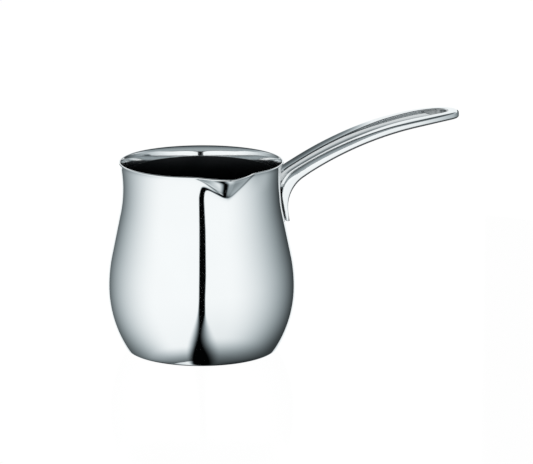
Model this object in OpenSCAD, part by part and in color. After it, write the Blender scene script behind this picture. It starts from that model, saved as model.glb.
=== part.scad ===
// Stove-top coffee pot (cezve) in polished stainless steel: a drawn bell-shaped
// body with one pressed pouring lip, and a long arched handle welded to the neck.
// Frame: origin at the centre of the underside, +Z up, handle along +X, lip towards -Y.

/* [Pot body] */
// Height of the rim above the table
pot_h = 89.9; // [86:0.1:94]
// Thickness of the drawn sheet
wall_t = 0.8; // [0.6:0.1:1.0]
// Largest outside radius, at the belly
belly_r = 44.05; // [43:0.05:46]
// Height of the belly's widest ring
belly_z = 30; // [28:0.5:32]
// Smallest outside radius, at the neck
neck_r = 37.05; // [36:0.05:38]
// Height of the neck's narrowest ring
neck_z = 77.4; // [76:0.1:79]
// Meridian radius below the belly ring
low_curve_r = 57; // [55:0.5:60]
// Meridian radius above the belly ring
high_curve_r = 75; // [72:0.5:78]
// Meridian radius of the hollow neck
neck_curve_r = 60; // [56:0.5:64]
// Lean of the straight shoulder between belly and neck, in degrees
shoulder_lean = 11.3; // [10.8:0.1:11.8]
// Outside radius of the tight corner round the flat base
base_corner_r = 2; // [1.5:0.1:3]

/* [Pouring lip] */
// How far the lip's tip stands out from the pot's axis
lip_reach = 46.6; // [44:0.1:48]
// Height where the lip starts to leave the neck
lip_foot_z = 80.2; // [78:0.1:82]
// Half of the opening angle of the pressed lip, in degrees
lip_half_angle = 38; // [34:1:42]

/* [Handle] */
// Distance from the pot's axis to the far end of the handle's top arc
handle_apex_x = 132.4; // [128:0.1:136]
// Highest point that the top arc would reach
handle_apex_z = 106.7; // [102:0.1:110]
// Radius of the arched top of the handle
top_arc_r = 183; // [176:1:186]
// Radius of the arched underside, which makes the handle slimmer towards its end
under_arc_r = 165; // [162:1:169]
// Thickness at the far end of the handle
end_t = 3.4; // [3.1:0.1:3.8]
// Bend radius from the top of the handle into the tab
top_bend_r = 13; // [11:0.5:15]
// Bend radius from the underside of the handle into the tab
under_bend_r = 16; // [14:0.5:18]
// Thickness of the tab that lies against the neck
tab_t = 1.9; // [1.6:0.1:2.4]
// Height of the tab's lower end
tab_end_z = 59.8; // [56:0.1:62]
// Half of the handle's width at the pot
root_half_w = 9; // [8.4:0.1:9.6]
// Half of the handle's width at its widest place
wide_half_w = 12.2; // [11:0.1:13]
// Where along the handle it is widest
wide_x = 107; // [104:1:110]
// Radius of the rounded far end
end_round_r = 9.5; // [8.5:0.1:10.5]

/* [Channel and hanging slot] */
// Half of the channel's width at the pot
channel_root_half_w = 3.2; // [2.8:0.1:3.6]
// Half of the channel's width at its widest place
channel_wide_half_w = 6.4; // [6.2:0.1:7]
// Where along the handle the channel is widest
channel_wide_x = 111; // [109:1:113]
// Radius of the slot's rounded end
slot_round_r = 5.9; // [5.4:0.1:6]
// Depth of the channel floor below the rail's top
channel_depth = 1; // [0.8:0.1:1.4]
// Thickness of the strip that makes the channel floor
strip_t = 1.4; // [1:0.1:1.6]
// Where the strip stops and the open hanging slot begins
strip_end_x = 115; // [112:0.5:117]

/* [Welds] */
// Diameter of each spot weld between tab and neck
weld_d = 4.4; // [3:0.1:5]
// Standing gap between tab and neck that the welds fill
weld_gap = 0.3; // [0.2:0.05:0.4]
// Heights of the spot welds
weld_zs = [63.5, 70.5];

/* [Hidden] */
$fn = 96;

far = 200;        // longer than anything that it cuts
over = 1;         // how far a cutting shape runs past a face
handle_root_x = 50;     // the handle keeps its root width up to here
side_round_r = 45;      // plan radius of the handle's swelling sides
channel_side_r = 60;    // plan radius of the channel's sides
arc_steps = 16;         // straight steps in each arc of an outline
tab_back_s = -0.5;      // the tab's flat back, before it is dished to the neck
strip_tab_t = 1.7;      // thickness of the strip in the tab, before dishing
weld_reach = 6;         // long enough to cross the welded gap anywhere on the flared neck

steel = [0.86, 0.87, 0.88];
dark_steel = [0.62, 0.64, 0.66];
weld_grey = [0.45, 0.46, 0.48];

function unit_x(a) = [cos(a), sin(a)];
// Unit vector that leans to the left of straight up by the angle a
function left_of_up(a) = [-sin(a), cos(a)];

// Points along an arc; angles run anticlockwise from +X
function arc_points(centre, r, from, to) =
    [for (i = [0:arc_steps]) centre + r * unit_x(from + (to - from) * i / arc_steps)];

// ---------- pot body: the meridian as tangent arcs ----------

low_centre = [belly_r - low_curve_r, belly_z];
high_centre = [belly_r - high_curve_r, belly_z];
neck_centre = [neck_r + neck_curve_r, neck_z];
corner_joint_angle = -asin((belly_z - base_corner_r) / (low_curve_r - base_corner_r));
corner_centre = low_centre + (low_curve_r - base_corner_r) * unit_x(corner_joint_angle);

// Direction from the neck's centre of curvature to the wall at height z
function neck_angle(z, inset) = 180 - asin((z - neck_z) / (neck_curve_r + inset));

function neck_radius(z) = neck_centre[0] - sqrt(pow(neck_curve_r, 2) - pow(z - neck_z, 2));

// The meridian from base to top, set in from the outside by a constant distance
function meridian(inset, top) = concat(
    arc_points(corner_centre, base_corner_r - inset, -90, corner_joint_angle),
    arc_points(low_centre, low_curve_r - inset, corner_joint_angle, 0),
    arc_points(high_centre, high_curve_r - inset, 0, shoulder_lean),
    arc_points(neck_centre, neck_curve_r + inset, 180 + shoulder_lean, neck_angle(top, inset)));

// Solid of revolution that fills the meridian
module filled_body(inset, top) {
    rotate_extrude() polygon(concat([[0, inset]], meridian(inset, top), [[0, top]]));
}

// The pot's whole outside, grown by the gap that the welds fill
module neck_clearance() { filled_body(-weld_gap, pot_h + over); }

// Everything within the middle of the sheet
module pot_core() { filled_body(wall_t / 2, pot_h + over); }

// Sheet wall with a rounded rim
module drawn_wall() {
    edge_r = wall_t / 2;
    edge_z = pot_h - edge_r;
    outer = meridian(0, edge_z);
    inner = meridian(wall_t, edge_z);
    last = len(inner) - 1;
    edge_centre = [(outer[last][0] + inner[last][0]) / 2, edge_z];
    half_w = (outer[last][0] - inner[last][0]) / 2;
    rotate_extrude() polygon(concat(
        [[0, 0]], outer,
        [for (i = [1:arc_steps - 1]) edge_centre + [half_w * cos(180 * i / arc_steps),
                                                    edge_r * sin(180 * i / arc_steps)]],
        [for (i = [0:last]) inner[last - i]], [[0, wall_t]]));
}

// The lip is half of a leaning cone, whose outermost line runs from foot to tip
lip_foot_r = neck_radius(lip_foot_z);
lip_line_lean = atan((lip_reach - lip_foot_r) / (pot_h - lip_foot_z));
lip_axis_lean = lip_line_lean - lip_half_angle;
lip_apex_sink = 3;      // how deep the cone's apex lies inside the neck
lip_apex = [0, -(lip_foot_r - lip_apex_sink), lip_foot_z - lip_apex_sink / tan(lip_line_lean)];

module lip_cone(inset) {
    lip_axis_l = 24;
    translate(lip_apex) rotate([lip_axis_lean, 0, 0])
        translate([0, 0, inset / sin(lip_half_angle)])
            cylinder(h = lip_axis_l, r1 = 0, r2 = lip_axis_l * tan(lip_half_angle));
}

module pot_body() {
    color(steel) difference() {
        union() {
            drawn_wall();
            difference() {
                intersection() {
                    lip_cone(0);
                    translate([-far / 2, -far, 0]) cube([far, far, pot_h]);
                }
                pot_core();
            }
        }
        lip_cone(wall_t);
    }
}

// ---------- handle: side view as tangent arcs, plan view as a paddle ----------

tab_lean = 10;                              // the neck flares by this much under the handle
tab_out = unit_x(tab_lean);                 // straight out of the tab's back
tab_down = [sin(tab_lean), -cos(tab_lean)];
tab_touch = [38.05, 69];                    // where the tab's plane meets the neck
top_centre = [handle_apex_x, handle_apex_z - top_arc_r];
under_centre = [handle_apex_x, handle_apex_z - end_t - under_arc_r];

// Area below a long arc that bends down into the tab's plane, s outside that plane
module area_below(centre, arc_r, bend_r, s) {
    reach = (centre - tab_touch) * tab_out;
    lean = tab_lean + asin((reach - s - bend_r) / (arc_r - bend_r));
    bend_centre = centre + (arc_r - bend_r) * left_of_up(lean);
    bend_foot = bend_centre - bend_r * tab_out;
    intersection() {
        translate(centre) circle(arc_r, $fn = 360);
        polygon([bend_centre, bend_centre + far * left_of_up(lean), [far, far],
                 [far, 0], bend_foot + far / 4 * tab_down, bend_foot]);
    }
    translate(bend_centre) circle(bend_r);
}

// A bar of the handle as seen from the side, drawn right across the handle
module side_bar(top_drop, top_s, under_centre_at, under_r, under_s) {
    rotate([90, 0, 0]) linear_extrude(height = far, center = true) intersection() {
        difference() {
            area_below(top_centre, top_arc_r - top_drop, top_bend_r, top_s);
            area_below(under_centre_at, under_r, under_bend_r, under_s);
        }
        translate([0, tab_end_z]) square(far);
    }
}

// Upper half of a paddle's outline: straight root, tapered side that swells, round end
function paddle_side(root_half, wide_half, widest_x, side_r, end_r) =
    let (side_centre = [widest_x, wide_half - side_r],
         root = [handle_root_x, root_half],
         to_centre = side_centre - root,
         taper = atan2(to_centre[1], to_centre[0]) + asin(side_r / norm(to_centre)),
         end_x = widest_x + sqrt(pow(side_r - end_r, 2) - pow(side_centre[1], 2)),
         joint = atan2(end_x - widest_x, -side_centre[1]))
    concat([[0, root_half], root],
           arc_points(side_centre, side_r, 90 + taper, 90 - joint),
           arc_points([end_x, 0], end_r, 90 - joint, 0));

module paddle(root_half, wide_half, widest_x, side_r, end_r) {
    upper = paddle_side(root_half, wide_half, widest_x, side_r, end_r);
    last = len(upper) - 1;
    polygon(concat(upper, [for (i = [1:last]) [upper[last - i][0], -upper[last - i][1]]]));
}

module channel_plan() {
    paddle(channel_root_half_w, channel_wide_half_w, channel_wide_x, channel_side_r,
           slot_round_r);
}

// One bar bent round in a loop, wide at its end and dished to sit on the neck
module handle_rail() {
    color(steel) difference() {
        intersection() {
            side_bar(0, tab_back_s, under_centre, under_arc_r, tab_back_s + tab_t);
            linear_extrude(height = far)
                paddle(root_half_w, wide_half_w, wide_x, side_round_r, end_round_r);
        }
        translate([0, 0, -over]) linear_extrude(height = far + 2 * over) channel_plan();
        neck_clearance();
    }
}

// Sunk strip between the rails; it stops short of the loop's end and leaves the slot
module handle_channel_strip() {
    color(dark_steel) difference() {
        intersection() {
            side_bar(channel_depth, tab_back_s, top_centre,
                     top_arc_r - channel_depth - strip_t, tab_back_s + strip_tab_t);
            linear_extrude(height = far) intersection() {
                channel_plan();
                translate([0, -far / 2]) square([strip_end_x, far]);
            }
        }
        neck_clearance();
    }
}

// Fused metal in the narrow gap between the strip's tab and the neck
module spot_welds() {
    color(weld_grey) intersection() {
        rotate_extrude() difference() {
            polygon(concat([[0, -weld_gap]], meridian(-weld_gap, pot_h), [[0, pot_h]]));
            polygon(concat([[0, 0]], meridian(0, pot_h), [[0, pot_h]]));
        }
        for (z = weld_zs)
            translate([neck_r - over, 0, z]) rotate([0, 90, 0])
                cylinder(h = weld_reach, d = weld_d);
    }
}

pot_body();
handle_rail();
handle_channel_strip();
spot_welds();
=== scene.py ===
import math

import bpy
import numpy as np
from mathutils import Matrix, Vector


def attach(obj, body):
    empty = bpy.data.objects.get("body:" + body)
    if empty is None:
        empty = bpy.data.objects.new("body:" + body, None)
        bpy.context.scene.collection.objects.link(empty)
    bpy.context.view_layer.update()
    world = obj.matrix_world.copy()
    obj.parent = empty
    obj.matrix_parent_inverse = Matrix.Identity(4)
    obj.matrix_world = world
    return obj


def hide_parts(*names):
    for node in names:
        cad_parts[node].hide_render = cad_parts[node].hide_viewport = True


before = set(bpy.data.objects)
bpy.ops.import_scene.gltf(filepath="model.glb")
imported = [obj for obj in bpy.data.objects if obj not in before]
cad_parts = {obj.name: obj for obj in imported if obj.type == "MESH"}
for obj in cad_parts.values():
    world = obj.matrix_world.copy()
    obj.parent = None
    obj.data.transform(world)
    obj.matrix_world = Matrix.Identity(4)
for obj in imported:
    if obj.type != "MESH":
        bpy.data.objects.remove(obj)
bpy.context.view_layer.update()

MM = 0.001

# ---------------------------------------------------------------- camera

CAMERA_TURN = math.radians(-20)      # azimuth that the camera looks from; 0 looks along +Y
CAMERA_RISE = math.radians(12.75)
CAMERA_FAR = 1.41
CAMERA_LENS = 202.6
AIM = Vector((28.7, -10.4, 55.8)) * MM

FRONT = Vector((math.sin(CAMERA_TURN), -math.cos(CAMERA_TURN), 0))   # level, towards the camera
RIGHT = Vector((math.cos(CAMERA_TURN), math.sin(CAMERA_TURN), 0))


def make_camera():
    data = bpy.data.cameras.new("camera")
    data.lens = CAMERA_LENS
    data.sensor_width = 36
    data.clip_start, data.clip_end = 0.01, 100
    cam = bpy.data.objects.new("camera", data)
    bpy.context.scene.collection.objects.link(cam)
    back = FRONT * math.cos(CAMERA_RISE) + Vector((0, 0, math.sin(CAMERA_RISE)))
    cam.location = AIM + back * CAMERA_FAR
    cam.rotation_mode = "QUATERNION"
    cam.rotation_quaternion = (-back).to_track_quat("-Z", "Y")
    bpy.context.scene.camera = cam


make_camera()

# ---------------------------------------------------------------- mesh helpers


def smoothstep(x):
    x = np.clip(x, 0, 1)
    return x * x * (3 - 2 * x)


def make_object(name, verts_mm, faces, smooth=True):
    mesh = bpy.data.meshes.new(name)
    mesh.from_pydata([tuple(v) for v in np.asarray(verts_mm, float) * MM], [], faces)
    mesh.validate()
    mesh.update()
    if smooth:
        mesh.polygons.foreach_set("use_smooth", [True] * len(mesh.polygons))
    obj = bpy.data.objects.new(name, mesh)
    bpy.context.scene.collection.objects.link(obj)
    return obj


def finish_piece(obj, slot, *nodes):
    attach(obj, "root")
    if nodes:
        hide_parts(*nodes)


# ---------------------------------------------------------------- pot: the drawn sheet

POT_H = 89.9
WALL = 0.8
BELLY_R, BELLY_Z, LOW_R, HIGH_R = 44.05, 30.0, 57.0, 75.0
NECK_R, NECK_Z, NECK_CURVE = 37.05, 77.4, 60.0
LEAN = math.radians(11.3)
CORNER_R = 2.0


def arc(centre, r, a, b, n):
    t = np.linspace(a, b, n)
    return np.c_[centre[0] + r * np.cos(t), centre[1] + r * np.sin(t)]


def meridian(inset, top):
    """Points (r, z) from the axis up to the rim, inset from the pot's outside."""
    low = (BELLY_R - LOW_R, BELLY_Z)
    high = (BELLY_R - HIGH_R, BELLY_Z)
    neck = (NECK_R + NECK_CURVE, NECK_Z)
    joint = -math.asin((BELLY_Z - CORNER_R) / (LOW_R - CORNER_R))
    corner = (low[0] + (LOW_R - CORNER_R) * math.cos(joint), CORNER_R)
    neck_end = math.pi - math.asin((top - NECK_Z) / (NECK_CURVE + inset))
    base = np.c_[np.linspace(0.001, corner[0], 9), np.full(9, inset)][:-1]
    parts = [
        base,
        arc(corner, CORNER_R - inset, -math.pi / 2, joint, 9)[:-1],
        arc(low, LOW_R - inset, joint, 0, 20)[:-1],
        arc(high, HIGH_R - inset, 0, LEAN, 9)[:-1],
    ]
    foot = arc(high, HIGH_R - inset, LEAN, LEAN, 1)
    head = arc(neck, NECK_CURVE + inset, math.pi + LEAN, math.pi + LEAN, 1)
    parts.append(foot + (head - foot) * np.linspace(0, 1, 9)[:-1, None])
    parts.append(arc(neck, NECK_CURVE + inset, math.pi + LEAN, math.pi, 13)[:-1])
    parts.append(arc(neck, NECK_CURVE + inset, math.pi, neck_end, 34))
    return np.concatenate(parts)


LIP_TURN = math.radians(-0.3)        # the lip's centre, from -Y; below 0 it is towards -X
LIP_REACH = 8.3
LIP_HALF = math.radians(19.0)        # half of the lip's width at the rim
LIP_FOOT_Z = 79.4
LIP_RIDGE = math.radians(2.0)        # rounding of the ridge
LIP_BLEND = 0.7, 0.35                # rounding where the lip leaves the neck, left and right
LIP_DIP = 0.5                        # the rim draws in a little beside the lip
LIP_DIP_AT, LIP_DIP_WIDE = math.radians(29), math.radians(9)
RIM_ROLL, RIM_ROLL_H = 0.4, 3        # extra flare at the rim and the height that it takes


def lip_push(turn, z):
    """How far the lip stands out at an angle from its centre and a height."""
    t = (z - LIP_FOOT_Z) / (POT_H - LIP_FOOT_Z)
    side = np.sqrt(turn**2 + LIP_RIDGE**2) - LIP_RIDGE
    push = LIP_REACH * (t - side / LIP_HALF)
    blend = LIP_BLEND[0] + (LIP_BLEND[1] - LIP_BLEND[0]) * smoothstep(turn / LIP_HALF + 0.5)
    soft = blend * np.logaddexp(0, push / blend)
    beside = np.exp(-((np.abs(turn) - LIP_DIP_AT) / LIP_DIP_WIDE) ** 2)
    return soft - LIP_DIP * beside * smoothstep(t)


def make_pot():
    fine = np.radians(np.arange(-45, 45, 0.3))
    coarse = np.radians(np.arange(45, 315, 1.25))
    turns = np.concatenate([fine, coarse])
    mid = meridian(WALL / 2, POT_H - WALL / 2)
    rows, cols = len(mid), len(turns)
    angle = turns + LIP_TURN
    roll = RIM_ROLL * np.clip((mid[:, 1] - POT_H + RIM_ROLL_H) / RIM_ROLL_H, 0, 1) ** 3
    signed = np.where(turns > math.pi, turns - 2 * math.pi, turns)
    r = (mid[:, 0] + roll)[:, None] + lip_push(signed[None], mid[:, 1][:, None])
    centre = np.stack([r * np.sin(angle), -r * np.cos(angle),
                       np.repeat(mid[:, 1][:, None], cols, 1)], -1)
    along = np.gradient(centre, axis=0)
    step = np.roll(centre, -1, 1) - np.roll(centre, 1, 1)
    normal = np.cross(step, along)
    normal /= np.linalg.norm(normal, axis=-1, keepdims=True)
    along /= np.linalg.norm(along, axis=-1, keepdims=True)
    half = WALL / 2
    rings = [centre[i] + half * normal[i] for i in range(rows)]
    for a in np.linspace(0, math.pi, 9)[1:-1]:
        rings.append(centre[-1] + half * (math.cos(a) * normal[-1] + math.sin(a) * along[-1]))
    outside = len(rings)
    rings += [centre[i] - half * normal[i] for i in range(rows - 1, -1, -1)]
    verts = np.concatenate(rings)
    faces = []
    for i in range(len(rings) - 1):
        for j in range(cols):
            k = (j + 1) % cols
            faces.append((i * cols + j, i * cols + k, (i + 1) * cols + k, (i + 1) * cols + j))
    n = len(verts)
    verts = np.concatenate([verts, [[0, 0, 0], [0, 0, WALL]]])
    last = (len(rings) - 1) * cols
    for j in range(cols):
        k = (j + 1) % cols
        faces.append((n, k, j))
        faces.append((n + 1, last + j, last + k))
    obj = make_object("pot_shell", verts, faces)
    inside = [0] * len(obj.data.polygons)
    for f in obj.data.polygons:
        low = min(f.vertices)
        if low // cols >= outside - 1 and low < n or n + 1 in f.vertices:
            inside[f.index] = 1
    return obj, inside


# ---------------------------------------------------------------- handle: the side view

APEX_X, APEX_Z = 132.4, 106.7
TOP_R, UNDER_R, END_T = 183.0, 165.0, 3.4
TOP_BEND, UNDER_BEND = 13.0, 16.0
TAB_LEAN = math.radians(10)
TAB_TOUCH = np.array([38.05, 69.0])
TAB_BACK, TAB_T, TAB_END_Z = -0.5, 1.9, 59.8
TAB_OUT = np.array([math.cos(TAB_LEAN), math.sin(TAB_LEAN)])
TAB_DOWN = np.array([math.sin(TAB_LEAN), -math.cos(TAB_LEAN)])


def side_curve(centre, r, bend, s):
    """Functions that give a point on one side of the bar, as (x, z), by station.

    Station 0 to 1 is the long arc from above its centre, 1 to 2 the bend, 2 to 3 the tab."""
    centre = np.array(centre)
    reach = (centre - TAB_TOUCH) @ TAB_OUT
    lean = TAB_LEAN + math.asin((reach - s - bend) / (r - bend))
    bend_c = centre + (r - bend) * np.array([-math.sin(lean), math.cos(lean)])
    foot = bend_c - bend * TAB_OUT
    drop = (foot[1] - TAB_END_Z) / math.cos(TAB_LEAN)

    def at(q):
        q = np.asarray(q, float)
        a = np.clip(q, -1, 1) * lean
        arc_p = centre + r * np.stack([-np.sin(a), np.cos(a)], -1)
        b = lean + np.clip(q - 1, 0, 1) * (math.pi / 2 + TAB_LEAN - lean)
        bend_p = bend_c + bend * np.stack([-np.sin(b), np.cos(b)], -1)
        tab_p = foot + TAB_DOWN * (np.clip(q - 2, 0, 2) * drop)[..., None]
        return np.where((q < 1)[..., None], arc_p, np.where((q < 2)[..., None], bend_p, tab_p))

    return at, lean


top_at, top_lean = side_curve((APEX_X, APEX_Z - TOP_R), TOP_R, TOP_BEND, TAB_BACK)
under_at, under_lean = side_curve((APEX_X, APEX_Z - END_T - UNDER_R), UNDER_R, UNDER_BEND,
                                  TAB_BACK + TAB_T)


def station_of_x(x):
    """Station whose mid-thickness lies at x, on the long arc."""
    q = np.linspace(0, 1, 400)
    mid = (top_at(q) + under_at(q))[:, 0] / 2
    return np.interp(-np.asarray(x, float), -mid, q)


# ---------------------------------------------------------------- handle: the plan view

ROOT_X = 50.0
OUTER = dict(root=9.0, wide=12.2, wide_x=107.0, side_r=45.0, end_r=9.5)
INNER = dict(root=3.2, wide=6.4, wide_x=111.0, side_r=60.0, end_r=5.9)
STRIP_END_X = 115.0


def outline(root, wide, wide_x, side_r, end_r, counts=(30, 26, 22)):
    """Half of a paddle's outline, (x, y) from the root to the tip, with fixed keys."""
    side_c = np.array([wide_x, wide - side_r])
    start = np.array([ROOT_X, root])
    to = side_c - start
    taper = math.atan2(to[1], to[0]) + math.asin(side_r / np.linalg.norm(to))
    end_x = wide_x + math.sqrt((side_r - end_r) ** 2 - side_c[1] ** 2)
    joint = math.atan2(end_x - wide_x, -side_c[1])
    side = arc(side_c, side_r, math.pi / 2 + taper, math.pi / 2 - joint, counts[1])
    end = arc((end_x, 0), end_r, math.pi / 2 - joint, 0, counts[2])
    straight = start + (side[0] - start) * np.linspace(0, 1, counts[0])[:, None]
    return np.concatenate([straight[:-1], side[:-1], end])


def bar_point(q, y, share):
    """3-D point at a station, a side offset and a share of the thickness from the underside."""
    low, high = under_at(q), top_at(q)
    p = low + (high - low) * np.asarray(share)[..., None]
    return np.stack([p[..., 0], np.broadcast_to(y, p[..., 0].shape), p[..., 1]], -1)


def rounded_section(width, height, radii, steps=6):
    """Closed loop (across, up): the four corners are rounded by radii, counted from the
    low inner corner towards the low outer one."""
    corners = [(0, 0), (width, 0), (width, height), (0, height)]
    centres = [(1, 1), (-1, 1), (-1, -1), (1, -1)]
    pts = []
    for k, (c, s) in enumerate(zip(corners, centres)):
        r = radii[k]
        a0 = math.pi + k * math.pi / 2
        for a in np.linspace(a0, a0 + math.pi / 2, steps):
            pts.append((c[0] + s[0] * r + r * math.cos(a), c[1] + s[1] * r + r * math.sin(a)))
    return np.array(pts)


def neck_radius(z):
    return NECK_R + NECK_CURVE - np.sqrt(NECK_CURVE**2 - (z - NECK_Z) ** 2)


NECK_SPAN = 55, 90                   # heights where the neck's curve holds
BESIDE_NECK = 95                     # what lies lower than this may meet the neck
NECK_GAP = 0.3


def dish_to_neck(points):
    """Moves what lies too near the neck out along X."""
    x, y, z = points.T
    least = neck_radius(np.clip(z, *NECK_SPAN)) + NECK_GAP
    floor_x = np.sqrt(np.maximum(least**2 - y**2, 0))
    out = points.copy()
    out[:, 0] = np.where(z < BESIDE_NECK, np.maximum(x, floor_x), x)
    return out


def loft(name, sections):
    count = len(sections[0])
    verts = np.concatenate(sections)
    faces = []
    for i in range(len(sections) - 1):
        for j in range(count):
            k = (j + 1) % count
            faces.append((i * count + j, i * count + k, (i + 1) * count + k, (i + 1) * count + j))
    faces.append(tuple(range(count - 1, -1, -1)))
    base = (len(sections) - 1) * count
    faces.append(tuple(base + j for j in range(count)))
    return make_object(name, verts, faces)


def turn_arc(start, radius, a, b, steps):
    """Arc from start whose surface direction turns from a to b, measured from straight up
    towards the outside; it runs outwards and down."""
    t = np.linspace(a, b, steps)
    return np.c_[start[0] + radius * (np.sin(t) - math.sin(a)),
                 start[1] + radius * (np.cos(t) - math.cos(a))]


# points of the rail's section, from the channel over the top and down the outer side
INNER_N, TOP_N, EDGE_N, SIDE_N, LOW_N, INNER_LOW_N = 6, 10, 8, 6, 7, 4
STRAIGHT, UNDERSIDE, WALL_UP = (0.66, 0.33), (0.75, 0.5, 0.25), (0.33, 0.66)
LOW_START = INNER_N + TOP_N + EDGE_N + SIDE_N + len(STRAIGHT)
SECTION_N = LOW_START + LOW_N + len(UNDERSIDE) + INNER_LOW_N + len(WALL_UP)


def rail_outline(width, height, top_in, top_out, edge_r, side_turn, side_r, low_r, inner_r=0.35):
    """Closed loop (across, up) of the rail's section. The top's direction goes from top_in at
    the channel to top_out, rolls over the edge to side_turn, then swells down the side."""
    roll = edge_r * (math.sin(side_turn) - math.sin(top_out))
    swell = side_r * (1 - math.sin(side_turn))
    top = width - inner_r * (1 + math.sin(top_in)) - roll - swell
    loop = [tuple(p) for p in turn_arc((0.0, 0.0), inner_r, -math.pi / 2, top_in, INNER_N)]
    for k in range(TOP_N):
        turn = top_in + (top_out - top_in) * (k + 0.5) / TOP_N
        loop.append((loop[-1][0] + top / TOP_N, loop[-1][1] - math.tan(turn) * top / TOP_N))
    loop += [tuple(p) for p in turn_arc(loop[-1], edge_r, top_out, side_turn, EDGE_N + 1)[1:]]
    loop += [tuple(p) for p in turn_arc(loop[-1], side_r, side_turn, math.pi / 2,
                                        SIDE_N + 1)[1:]]
    lift = height - max(p[1] for p in loop)
    loop = [(p[0], p[1] + lift) for p in loop]
    straight = loop[-1][1] - low_r
    loop += [(width, low_r + straight * k) for k in STRAIGHT]
    loop += [tuple(p) for p in turn_arc((width, low_r), low_r, math.pi / 2, math.pi, LOW_N)]
    loop += [(width * k, 0.0) for k in UNDERSIDE]
    loop += [tuple(p) for p in turn_arc((inner_r, 0.0), inner_r, math.pi, 1.5 * math.pi,
                                        INNER_LOW_N)]
    loop += [(0.0, inner_r + (loop[0][1] - inner_r) * k) for k in WALL_UP]
    return np.array(loop)


# section of the rail by station: direction of the top at the channel and at the outer edge,
# edge radius, turn where the side begins, side radius, lower edge radius; stations run from the
# handle's far end to the lower end of the tab. The top is dished at the pot, crowned at the end.
SECTION_STATIONS = [0.0, 0.2, 0.35, 0.66, 0.9, 1.0, 1.5, 2.0, 3.0]
TOP_IN = np.radians([0, 0, 0, -3, -4, -4, -3, 0, 0])
TOP_OUT = np.radians([4, 6, 5, -13, -19, -18, -12, 6, 6])
EDGE_R = [0.9, 1.0, 0.9, 0.6, 0.5, 0.5, 0.6, 0.8, 0.8]
SIDE_TURN = np.radians([78, 77, 75, 65, 64, 64, 68, 76, 76])
SIDE_R = [1.5, 2.0, 2.5, 6.5, 8.0, 7.5, 3.0, 0.5, 0.5]
LOW_EDGE_R = [0.9, 1.0, 1.1, 1.2, 1.2, 1.2, 1.0, 0.85, 0.85]


def rail_section(q_inner, y_inner, q_outer, y_outer, width, inset=0.0):
    """One ring of the rail between an inner and an outer edge."""
    q_mid = (q_inner + q_outer) / 2
    low, high = under_at(q_mid), top_at(q_mid)
    t = float(np.linalg.norm(high - low))
    shape = [float(np.interp(q_mid, SECTION_STATIONS, v))
             for v in (TOP_IN, TOP_OUT, EDGE_R, SIDE_TURN, SIDE_R, LOW_EDGE_R)]
    sec = rail_outline(width, t, *shape)
    if inset:
        middle = np.array([width, t]) / 2
        sec = middle + (sec - middle) * (1 - 2 * inset / np.array([width, t]))
    w = sec[:, 0] / width
    q = q_inner + (q_outer - q_inner) * w
    y = y_inner + (y_outer - y_inner) * w
    return bar_point(q, y, sec[:, 1] / t)


# which faces of the section's loop have another finish, or painted shade
TOP_FACES = range(INNER_N, INNER_N + TOP_N)
WALL_FACES = range(SECTION_N - 3, SECTION_N)      # the side of the channel
PAINTED_SHADE_FACES = (INNER_N - 2, INNER_N - 1,           # painted shade on the edge beside the channel
              *range(LOW_START, LOW_START + LOW_N - 1))   # and on the lower outer edge
TAB_EDGE_R = 0.45                    # rounding of the tab's lower end
TAB_RINGS = 28                       # rings from the tab's end up to the bend
HANDLE, CUT, SHADE, WALL_STEEL = range(4)         # the rail's material slots


def make_rail():
    outer, inner = outline(**OUTER), outline(**INNER)
    rings = []
    # tab end with its rounded edge, then up the tab and round the bend
    tab_len = np.linalg.norm(top_at(2.0) - top_at(3.0))
    for a in np.linspace(0, math.pi / 2, 5):
        inset = TAB_EDGE_R * (1 - math.sin(a))
        q = 3.0 - TAB_EDGE_R * (1 - math.cos(a)) / tab_len
        rings.append(("tab", q, inset))
    for q in np.linspace(2.93, 1.0, 44):
        rings.append(("tab", q, 0.0))
    q_root = float(station_of_x(ROOT_X))
    for q in np.linspace(1.0, q_root, 6)[1:-1]:
        rings.append(("tab", q, 0.0))
    near = []
    for kind, q, inset in rings:
        w = OUTER["root"] - INNER["root"]
        near.append(rail_section(q, -INNER["root"], q, -OUTER["root"], w, inset))
    for o, i in zip(outer, inner):
        w = float(np.hypot(*(o - i)))
        near.append(rail_section(float(station_of_x(i[0])), -i[1],
                                 float(station_of_x(o[0])), -o[1], w))
    far = [ring * np.array([1, -1, 1]) for ring in near[:-1]][::-1]
    sections = [dish_to_neck(s) for s in near + far]
    rail = loft("handle_rail_loop", sections)
    count = len(sections[0])
    slots = [HANDLE] * len(rail.data.polygons)
    for i in range((len(sections) - 1) * count):
        ring, side = divmod(i, count)
        from_tab = min(ring, len(sections) - 2 - ring)
        if side in WALL_FACES:
            slots[i] = CUT if sections[ring][0][0] > STRIP_END_X - 1 else WALL_STEEL
        elif side in TOP_FACES and from_tab < TAB_RINGS:
            slots[i] = WALL_STEEL
        elif side in PAINTED_SHADE_FACES:
            slots[i] = SHADE
    return rail, slots


STRIP_T, STRIP_TAB_T = 1.4, 1.7      # thickness along the channel and down the tab
STRIP_SINK_STATIONS, STRIP_SINK = [0.0, 0.35, 0.66, 0.9, 1.0], [0.65, 0.65, 0.75, 0.95, 0.95]


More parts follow.
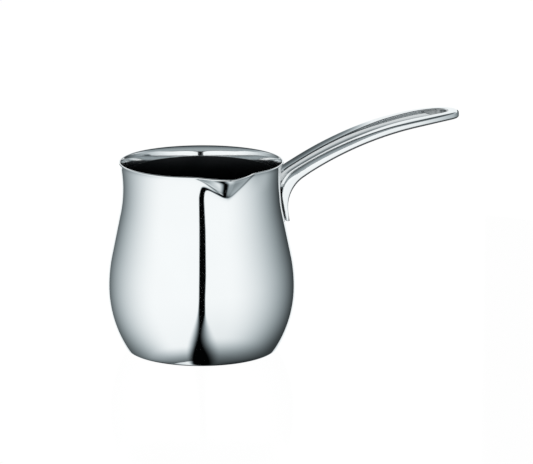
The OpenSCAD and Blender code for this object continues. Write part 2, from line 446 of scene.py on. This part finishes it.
def make_strip():
    inner = outline(**INNER)
    q_root = float(station_of_x(ROOT_X))
    stations = [(q, INNER["root"]) for q in np.linspace(3.0, 1.0, 46)]
    stations += [(q, INNER["root"]) for q in np.linspace(1.0, q_root, 6)[1:-1]]
    stations += [(float(station_of_x(p[0])), p[1]) for p in inner if p[0] < STRIP_END_X - 0.5]
    half_end = float(np.interp(STRIP_END_X, inner[:, 0][:60], inner[:, 1][:60]))
    stations.append((float(station_of_x(STRIP_END_X)), half_end))
    sections = []
    for q, half in stations:
        low, high = under_at(q), top_at(q)
        t = float(np.linalg.norm(high - low))
        tab = float(smoothstep(np.array((q - 1.0) / 1.0)))
        sink = float(np.interp(q, STRIP_SINK_STATIONS, STRIP_SINK)) * (1 - tab)
        thick = STRIP_T + (STRIP_TAB_T - STRIP_T) * tab
        width = 2 * half + 0.1
        sec = rounded_section(width, thick, (0.1, 0.1, 0.1, 0.1), 3)
        up = (t - sink - thick + sec[:, 1]) / t
        sections.append(dish_to_neck(bar_point(np.full(len(sec), q), sec[:, 0] - width / 2, up)))
    return loft("handle_channel_floor", sections)


# ---------------------------------------------------------------- materials


def material(name):
    mat = bpy.data.materials.new(name)
    mat.use_nodes = True
    nodes, links = mat.node_tree.nodes, mat.node_tree.links
    return mat, nodes, links, nodes["Principled BSDF"]


def maths(nodes, links, op, a, b=None, c=None):
    node = nodes.new("ShaderNodeMath")
    node.operation = op
    for i, v in enumerate((a, b, c)):
        if v is None:
            continue
        if isinstance(v, (int, float)):
            node.inputs[i].default_value = v
        else:
            links.new(v, node.inputs[i])
    return node.outputs[0]


def dot(nodes, links, vec, axis):
    node = nodes.new("ShaderNodeVectorMath")
    node.operation = "DOT_PRODUCT"
    links.new(vec, node.inputs[0])
    node.inputs[1].default_value = axis
    return node.outputs["Value"]


def ramp(nodes, links, value, lo, hi, stops):
    """Colour ramp over lo..hi; stops are (value, grey or colour)."""
    rng = nodes.new("ShaderNodeMapRange")
    rng.inputs["From Min"].default_value = lo
    rng.inputs["From Max"].default_value = hi
    links.new(value, rng.inputs["Value"])
    node = nodes.new("ShaderNodeValToRGB")
    cr = node.color_ramp
    while len(cr.elements) > 1:
        cr.elements.remove(cr.elements[-1])
    for i, (v, c) in enumerate(stops):
        e = cr.elements[0] if i == 0 else cr.elements.new((v - lo) / (hi - lo))
        e.position = (v - lo) / (hi - lo)
        c = (c, c, c) if isinstance(c, (int, float)) else c
        e.color = (*c, 1)
    links.new(rng.outputs[0], node.inputs["Fac"])
    return node.outputs["Color"]


def table(nodes, links, value, stops, lo, hi):
    """Piecewise-linear table of one value by another, through a colour ramp."""
    span = [v for _, v in stops]
    low, high = min(span), max(span)
    scaled = [(x, (v - low) / (high - low)) for x, v in stops]
    return maths(nodes, links, "MULTIPLY_ADD", ramp(nodes, links, value, lo, hi, scaled),
                 high - low, low)


def step_up(nodes, links, value, lo, hi):
    """Smooth step from 0 at lo to 1 at hi."""
    node = nodes.new("ShaderNodeMapRange")
    node.interpolation_type = "SMOOTHSTEP"
    for name, v in (("From Min", lo), ("From Max", hi)):
        if isinstance(v, (int, float)):
            node.inputs[name].default_value = v
        else:
            links.new(v, node.inputs[name])
    links.new(value, node.inputs["Value"])
    return node.outputs[0]


def steel(name, stretch, rough, tint, bump=0.02):
    """Polished steel with fine, faint polishing lines; stretch gives their direction."""
    mat, nodes, links, bsdf = material(name)
    coords = nodes.new("ShaderNodeTexCoord")
    mapping = nodes.new("ShaderNodeMapping")
    mapping.inputs["Scale"].default_value = stretch
    lines = nodes.new("ShaderNodeTexNoise")
    lines.inputs["Scale"].default_value = 1.0
    lines.inputs["Detail"].default_value = 4.0
    lines.inputs["Roughness"].default_value = 0.6
    cloud = nodes.new("ShaderNodeTexNoise")
    cloud.inputs["Scale"].default_value = 60.0
    cloud.inputs["Detail"].default_value = 2.0
    links.new(coords.outputs["Object"], mapping.inputs["Vector"])
    links.new(mapping.outputs["Vector"], lines.inputs["Vector"])
    links.new(coords.outputs["Object"], cloud.inputs["Vector"])
    mixed = maths(nodes, links, "MULTIPLY", lines.outputs["Fac"], cloud.outputs["Fac"])
    rng = nodes.new("ShaderNodeMapRange")
    rng.inputs["From Min"].default_value = 0.1
    rng.inputs["From Max"].default_value = 0.5
    rng.inputs["To Min"].default_value = rough[0]
    rng.inputs["To Max"].default_value = rough[1]
    links.new(mixed, rng.inputs["Value"])
    links.new(rng.outputs[0], bsdf.inputs["Roughness"])
    shades = ramp(nodes, links, cloud.outputs["Fac"], 0, 1,
                  [(0, tuple(c * 0.97 for c in tint)), (1, tint)])
    links.new(shades, bsdf.inputs["Base Color"])
    bsdf.inputs["Metallic"].default_value = 1.0
    bumps = nodes.new("ShaderNodeBump")
    bumps.inputs["Strength"].default_value = bump
    bumps.inputs["Distance"].default_value = 0.0001
    links.new(lines.outputs["Fac"], bumps.inputs["Height"])
    links.new(bumps.outputs["Normal"], bsdf.inputs["Normal"])
    return mat


ROUND_LINES = (12.0, 12.0, 1800.0)   # rings round the pot
LONG_LINES = (30.0, 1500.0, 1500.0)  # lines along the handle
STEEL_TINT = (0.86, 0.875, 0.88)

SATIN_AND_SHADE_BELOW = 83.35 * MM             # the inside is polished only on the flared rim; lower down it has painted shade
SATIN_AND_SHADE_TILT = 0.045
RIM_LINE = 89.45 * MM                # the cut edge of the rim is darker


def blend_input(mat, socket, factor, value):
    """Mixes a fixed colour or number into an input that a link already feeds."""
    nodes, links = mat.node_tree.nodes, mat.node_tree.links
    bsdf = nodes["Principled BSDF"]
    old = bsdf.inputs[socket].links[0].from_socket
    mix = nodes.new("ShaderNodeMix")
    colour = not isinstance(value, float)
    mix.data_type = "RGBA" if colour else "FLOAT"
    first, second, out = (6, 7, 2) if colour else (2, 3, 0)
    links.new(factor, mix.inputs[0])
    links.new(old, mix.inputs[first])
    mix.inputs[second].default_value = value
    links.new(mix.outputs[out], bsdf.inputs[socket])


def add_satin_and_painted_shade(mat):
    """Below the flare the inside keeps a satin finish and is coloured near black, which is painted
    shade.
    """
    nodes, links = mat.node_tree.nodes, mat.node_tree.links
    pos = nodes.new("ShaderNodeNewGeometry").outputs["Position"]
    # the boundary of the painted shade is tilted a little towards the camera's side
    height = dot(nodes, links, pos, FRONT * SATIN_AND_SHADE_TILT + Vector((0, 0, 1)))
    low = step_up(nodes, links, height, SATIN_AND_SHADE_BELOW + 0.15 * MM, SATIN_AND_SHADE_BELOW - 0.15 * MM)
    # painted shade: below the boundary the inside's colour is near black; the rougher satin is its
    # real finish
    blend_input(mat, "Base Color", low, (0.03, 0.031, 0.033, 1))
    blend_input(mat, "Roughness", low, 0.32)
    edge = step_up(nodes, links, dot(nodes, links, pos, (0, 0, 1)), RIM_LINE - 0.1 * MM,
                   RIM_LINE + 0.1 * MM)
    blend_input(mat, "Base Color", edge, (0.26, 0.27, 0.28, 1))


outside_steel = steel("polished_steel", ROUND_LINES, (0.03, 0.06), STEEL_TINT, 0.006)
inside_steel = steel("inside_steel", ROUND_LINES, (0.05, 0.10), STEEL_TINT)
add_satin_and_painted_shade(inside_steel)
handle_steel = steel("handle_steel", LONG_LINES, (0.04, 0.08), STEEL_TINT)
strip_steel = steel("strip_steel", LONG_LINES, (0.07, 0.12), (0.55, 0.565, 0.57))
# painted shade: near-black steel for the rail's lower outer edge and the edge beside the channel
painted_shade_steel = steel("painted_shade_steel", LONG_LINES, (0.15, 0.25), (0.14, 0.145, 0.15))
cut_steel = steel("cut_steel", LONG_LINES, (0.25, 0.35), (0.36, 0.375, 0.38))
wall_steel = steel("wall_steel", LONG_LINES, (0.35, 0.45), (0.93, 0.945, 0.95))
weld_steel = steel("weld_steel", (900.0, 900.0, 900.0), (0.3, 0.45), (0.45, 0.46, 0.48), 0.3)

pot, inside_faces = make_pot()
pot.data.materials.append(outside_steel)
pot.data.materials.append(inside_steel)
pot.data.polygons.foreach_set("material_index", inside_faces)
finish_piece(pot, "polished_steel_body", "pot_body")

rail, rail_slots = make_rail()
for mat in (handle_steel, cut_steel, painted_shade_steel, wall_steel):    # in the order of the slots
    rail.data.materials.append(mat)
rail.data.polygons.foreach_set("material_index", rail_slots)
finish_piece(rail, "polished_steel_handle", "handle_rail")

strip = make_strip()
strip.data.materials.append(strip_steel)
finish_piece(strip, "polished_steel_strip", "handle_channel_strip")

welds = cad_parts["spot_welds"]
for slot in welds.material_slots:
    slot.material = weld_steel

# ---------------------------------------------------------------- stage and light


TENT_R = 0.33
TENT_TOP, TENT_LOW = 0.18, -0.02     # the wall; a bowl closes it underneath


def emission_material(name):
    mat = bpy.data.materials.new(name)
    mat.use_nodes = True
    nodes, links = mat.node_tree.nodes, mat.node_tree.links
    nodes.clear()
    out = nodes.new("ShaderNodeOutputMaterial")
    emit = nodes.new("ShaderNodeEmission")
    links.new(emit.outputs[0], out.inputs["Surface"])
    mat.cycles.emission_sampling = "NONE"
    return mat, nodes, links, emit


TENT_OPEN_BACK = 152                 # degrees from the camera's side to the tent's two ends
# Angles run from the camera's side, in degrees. Depth is how far a point lies below the table,
# as a share of the tent's radius.
LIGHT_DARK = 0.05                    # level at the back of the tent
LIGHT_LEFT = dict(peak=1.10, full=50, out=172)    # level, and where it starts and ends to fall
LIGHT_RIGHT = dict(peak=1.09, full=30, out=155)
SIDES_SOONER = 0.5                   # at full depth the sides darken this much sooner
# towards the bottom the light fades: a slow part, then a fast one between two depths
FADE_LEFT = dict(slow=0.06, fast=0.95, start=0.74, end=1.00)
FADE_RIGHT = dict(slow=0.20, fast=0.92, start=0.60, end=1.00)
TABLE_SPOT = 0.952                   # deeper than this the left side sees the bright table
TABLE_SPOT_LEVEL = 0.9
# The dark gap in the light. Each side of it lies at so many degrees level with the table, moved
# by `above` for the share of height over it, and by `slow` and, to a power, `fast` for depth.
GAP_LEFT = dict(at=2, above=-1, slow=4, fast=24, power=3)
GAP_RIGHT = dict(at=5, above=4, slow=0, fast=29, power=4)
# width of its soft edge in degrees: `more` is added between two depths
SOFT_LEFT = dict(least=1, more=15, start=0.05, end=0.80)
SOFT_RIGHT = dict(least=1, more=29, start=0.15, end=0.85)
LIGHT_LEAST = 0.001
# height of the light's upper edge in metres: it sags in front and rises at the sides
EDGE_Z, EDGE_SAG, EDGE_RISE = 0.147, 0.018, 0.053
EDGE_SAG_AT, EDGE_SAG_WIDE = 3.0, 12.5
EDGE_RISE_START, EDGE_RISE_END = 45, 88
FRAME_BAND = 0.006                   # dark frame along the top of the light
ABOVE_LEVEL = 0.42


def cool(nodes, links, level):
    """Greys of the studio: the darker, the cooler."""
    mix = nodes.new("ShaderNodeCombineColor")
    red = maths(nodes, links, "MULTIPLY", level,
                maths(nodes, links, "MULTIPLY_ADD", level, 0.14, 0.83))
    blue = maths(nodes, links, "MULTIPLY", level,
                 maths(nodes, links, "MULTIPLY_ADD", level, -0.06, 1.07))
    links.new(red, mix.inputs[0])
    links.new(level, mix.inputs[1])
    links.new(blue, mix.inputs[2])
    return mix.outputs[0]


def light_edge(nodes, links, turn):
    """Height of the light's upper edge by angle."""
    off = maths(nodes, links, "MULTIPLY_ADD", turn, 1 / EDGE_SAG_WIDE,
                -EDGE_SAG_AT / EDGE_SAG_WIDE)
    bell = maths(nodes, links, "EXPONENT",
                 maths(nodes, links, "MULTIPLY", maths(nodes, links, "MULTIPLY", off, off), -1))
    rise = step_up(nodes, links, maths(nodes, links, "ABSOLUTE", turn),
                   EDGE_RISE_START, EDGE_RISE_END)
    flat = maths(nodes, links, "MULTIPLY_ADD", rise, EDGE_RISE, EDGE_Z)
    return maths(nodes, links, "MULTIPLY_ADD", bell, -EDGE_SAG, flat)


def make_tent():
    """Curved light round the pot, open behind it, that only reflections show."""
    profile = [(TENT_TOP, TENT_R), (TENT_LOW, TENT_R)]
    for a in np.linspace(0, math.pi / 2, 14)[1:-1]:
        profile.append((TENT_LOW - TENT_R * math.sin(a), TENT_R * math.cos(a)))
    cols = 144
    span = math.radians(TENT_OPEN_BACK)
    verts, faces = [], []
    for z, r in profile:
        for j in range(cols + 1):
            a = -span + 2 * span * j / cols
            p = (FRONT * math.cos(a) + RIGHT * math.sin(a)) * r
            verts.append((p.x, p.y, z))
    row = cols + 1
    for i in range(len(profile) - 1):
        for j in range(cols):
            faces.append((i * row + j, i * row + j + 1, (i + 1) * row + j + 1, (i + 1) * row + j))
    verts.append((0, 0, TENT_LOW - TENT_R))
    last = (len(profile) - 1) * row
    for j in range(cols):
        faces.append((last + j, last + j + 1, len(verts) - 1))
    tent = make_object("light_tent", np.array(verts) / MM, faces)
    mat, nodes, links, emit = emission_material("tent_light")
    geo = nodes.new("ShaderNodeNewGeometry")
    pos = geo.outputs["Position"]
    f = dot(nodes, links, pos, FRONT)
    r = dot(nodes, links, pos, RIGHT)
    z = dot(nodes, links, pos, (0, 0, 1))
    turn = maths(nodes, links, "DEGREES", maths(nodes, links, "ARCTAN2", r, f))
    depth = maths(nodes, links, "MULTIPLY", z, -1 / TENT_R)
    low = maths(nodes, links, "MAXIMUM", depth, 0.0)
    high = maths(nodes, links, "MAXIMUM", maths(nodes, links, "MULTIPLY", depth, -1), 0.0)
    cube = maths(nodes, links, "POWER", low, 3.0)
    wide = maths(nodes, links, "MULTIPLY", turn,
                 maths(nodes, links, "MULTIPLY_ADD", cube, SIDES_SOONER, 1))
    sides = []
    for sign, light, fade, gap, soft in ((-1, LIGHT_LEFT, FADE_LEFT, GAP_LEFT, SOFT_LEFT),
                                         (1, LIGHT_RIGHT, FADE_RIGHT, GAP_RIGHT, SOFT_RIGHT)):
        away = maths(nodes, links, "MULTIPLY", wide, sign)
        level = maths(nodes, links, "MULTIPLY_ADD",
                      step_up(nodes, links, away, light["out"], light["full"]),
                      light["peak"] - LIGHT_DARK, LIGHT_DARK)
        slow = maths(nodes, links, "MULTIPLY_ADD", low, -fade["slow"], 1)
        fast = maths(nodes, links, "MULTIPLY_ADD",
                     step_up(nodes, links, low, fade["start"], fade["end"]), -fade["fast"], 1)
        faded = maths(nodes, links, "MULTIPLY", slow, fast)
        if sign < 0:
            spot = step_up(nodes, links, low, TABLE_SPOT - 0.005, TABLE_SPOT + 0.005)
            faded = maths(nodes, links, "MAXIMUM", faded,
                          maths(nodes, links, "MULTIPLY", spot, TABLE_SPOT_LEVEL))
        steep = maths(nodes, links, "MULTIPLY_ADD",
                      maths(nodes, links, "POWER", low, gap["power"]), gap["fast"], gap["at"])
        at = maths(nodes, links, "MULTIPLY_ADD", low, gap["slow"],
                   maths(nodes, links, "MULTIPLY_ADD", high, gap["above"], steep))
        half = maths(nodes, links, "MULTIPLY_ADD",
                     step_up(nodes, links, low, soft["start"], soft["end"]),
                     soft["more"] / 2, soft["least"] / 2)
        gate = step_up(nodes, links, maths(nodes, links, "MULTIPLY", turn, sign),
                       maths(nodes, links, "SUBTRACT", at, half),
                       maths(nodes, links, "ADD", at, half))
        sides.append((maths(nodes, links, "MULTIPLY", level, faded), gate))
    both = nodes.new("ShaderNodeMix")
    links.new(step_up(nodes, links, turn, -12.0, 12.0), both.inputs[0])
    links.new(sides[0][0], both.inputs[2])
    links.new(sides[1][0], both.inputs[3])
    gate = maths(nodes, links, "MAXIMUM", sides[0][1], sides[1][1])
    lit = maths(nodes, links, "MAXIMUM",
                maths(nodes, links, "MULTIPLY", both.outputs[0], gate), LIGHT_LEAST)
    # above the light's top edge hangs a grey wall, behind a thin dark frame
    over = maths(nodes, links, "SUBTRACT", z, light_edge(nodes, links, turn))
    above = step_up(nodes, links, over, FRAME_BAND, FRAME_BAND + 0.002)
    below = step_up(nodes, links, over, 0.001, -0.001)
    total = maths(nodes, links, "ADD", maths(nodes, links, "MULTIPLY", lit, below),
                  maths(nodes, links, "MULTIPLY", above, ABOVE_LEVEL))
    links.new(cool(nodes, links, total), emit.inputs["Color"])
    tent.data.materials.append(mat)
    tent.visible_camera = False
    tent.visible_diffuse = False
    tent.visible_shadow = False
    tent.visible_transmission = False


def make_world():
    world = bpy.data.worlds.new("studio")
    bpy.context.scene.world = world
    world.use_nodes = True
    nodes, links = world.node_tree.nodes, world.node_tree.links
    nodes.clear()
    out = nodes.new("ShaderNodeOutputWorld")
    back = nodes.new("ShaderNodeBackground")
    links.new(back.outputs[0], out.inputs["Surface"])
    coords = nodes.new("ShaderNodeTexCoord")
    vec = coords.outputs["Generated"]
    f = dot(nodes, links, vec, FRONT)
    z = dot(nodes, links, vec, (0, 0, 1))
    rise = maths(nodes, links, "DEGREES", maths(nodes, links, "ARCSINE", z))
    front = table(nodes, links, rise, [
        (-90, 0.02), (2, 0.02), (5, 0.42), (18, 0.40), (35, 0.16), (55, 0.09), (90, 0.07)], -90, 90)
    behind = table(nodes, links, rise, [
        (-90, 0.03), (-42, 0.05), (-32, 0.6), (-20, 0.95), (24, 1.0), (30, 0.60), (36, 0.30),
        (42, 0.17), (50, 0.09), (60, 0.05), (90, 0.03)], -90, 90)
    mix = nodes.new("ShaderNodeMix")
    links.new(step_up(nodes, links, f, 0.2, -0.7), mix.inputs[0])
    links.new(front, mix.inputs[2])
    links.new(behind, mix.inputs[3])
    links.new(cool(nodes, links, mix.outputs[0]), back.inputs["Color"])


def make_floor():
    size = 20000.0
    floor = make_object("floor", [(-size, -size, 0), (size, -size, 0), (size, size, 0),
                                  (-size, size, 0)], [(0, 1, 2, 3)], False)
    mat = bpy.data.materials.new("pale_floor")
    mat.use_nodes = True
    nodes, links = mat.node_tree.nodes, mat.node_tree.links
    nodes.clear()
    out = nodes.new("ShaderNodeOutputMaterial")
    emit = nodes.new("ShaderNodeEmission")
    emit.inputs["Color"].default_value = (1, 1, 1, 1)
    emit.inputs["Strength"].default_value = 0.99
    gloss = nodes.new("ShaderNodeBsdfGlossy")
    gloss.inputs["Color"].default_value = (0.02, 0.02, 0.02, 1)
    gloss.inputs["Roughness"].default_value = 0.08
    add = nodes.new("ShaderNodeAddShader")
    links.new(emit.outputs[0], add.inputs[0])
    links.new(gloss.outputs[0], add.inputs[1])
    links.new(add.outputs[0], out.inputs["Surface"])
    mat.cycles.emission_sampling = "NONE"
    floor.data.materials.append(mat)
    floor.visible_glossy = False
    floor.visible_diffuse = False


def make_backdrop():
    dome_r = 18.0
    verts, faces, cols, rows = [], [], 48, 12
    for i in range(rows + 1):
        a = -0.05 + (math.pi / 2 + 0.05) * i / rows
        for j in range(cols):
            b = 2 * math.pi * j / cols
            verts.append((dome_r * math.cos(a) * math.cos(b), dome_r * math.cos(a) * math.sin(b),
                          dome_r * math.sin(a)))
    for i in range(rows):
        for j in range(cols):
            k = (j + 1) % cols
            faces.append((i * cols + j, i * cols + k, (i + 1) * cols + k, (i + 1) * cols + j))
    dome = make_object("backdrop", np.array(verts) / MM, faces)
    dome.data.materials.append(emission_material("white_backdrop")[0])
    dome.visible_glossy = False
    dome.visible_diffuse = False
    dome.visible_shadow = False


make_world()
make_tent()
make_floor()
make_backdrop()
bpy.context.scene.view_settings.view_transform = "Standard"
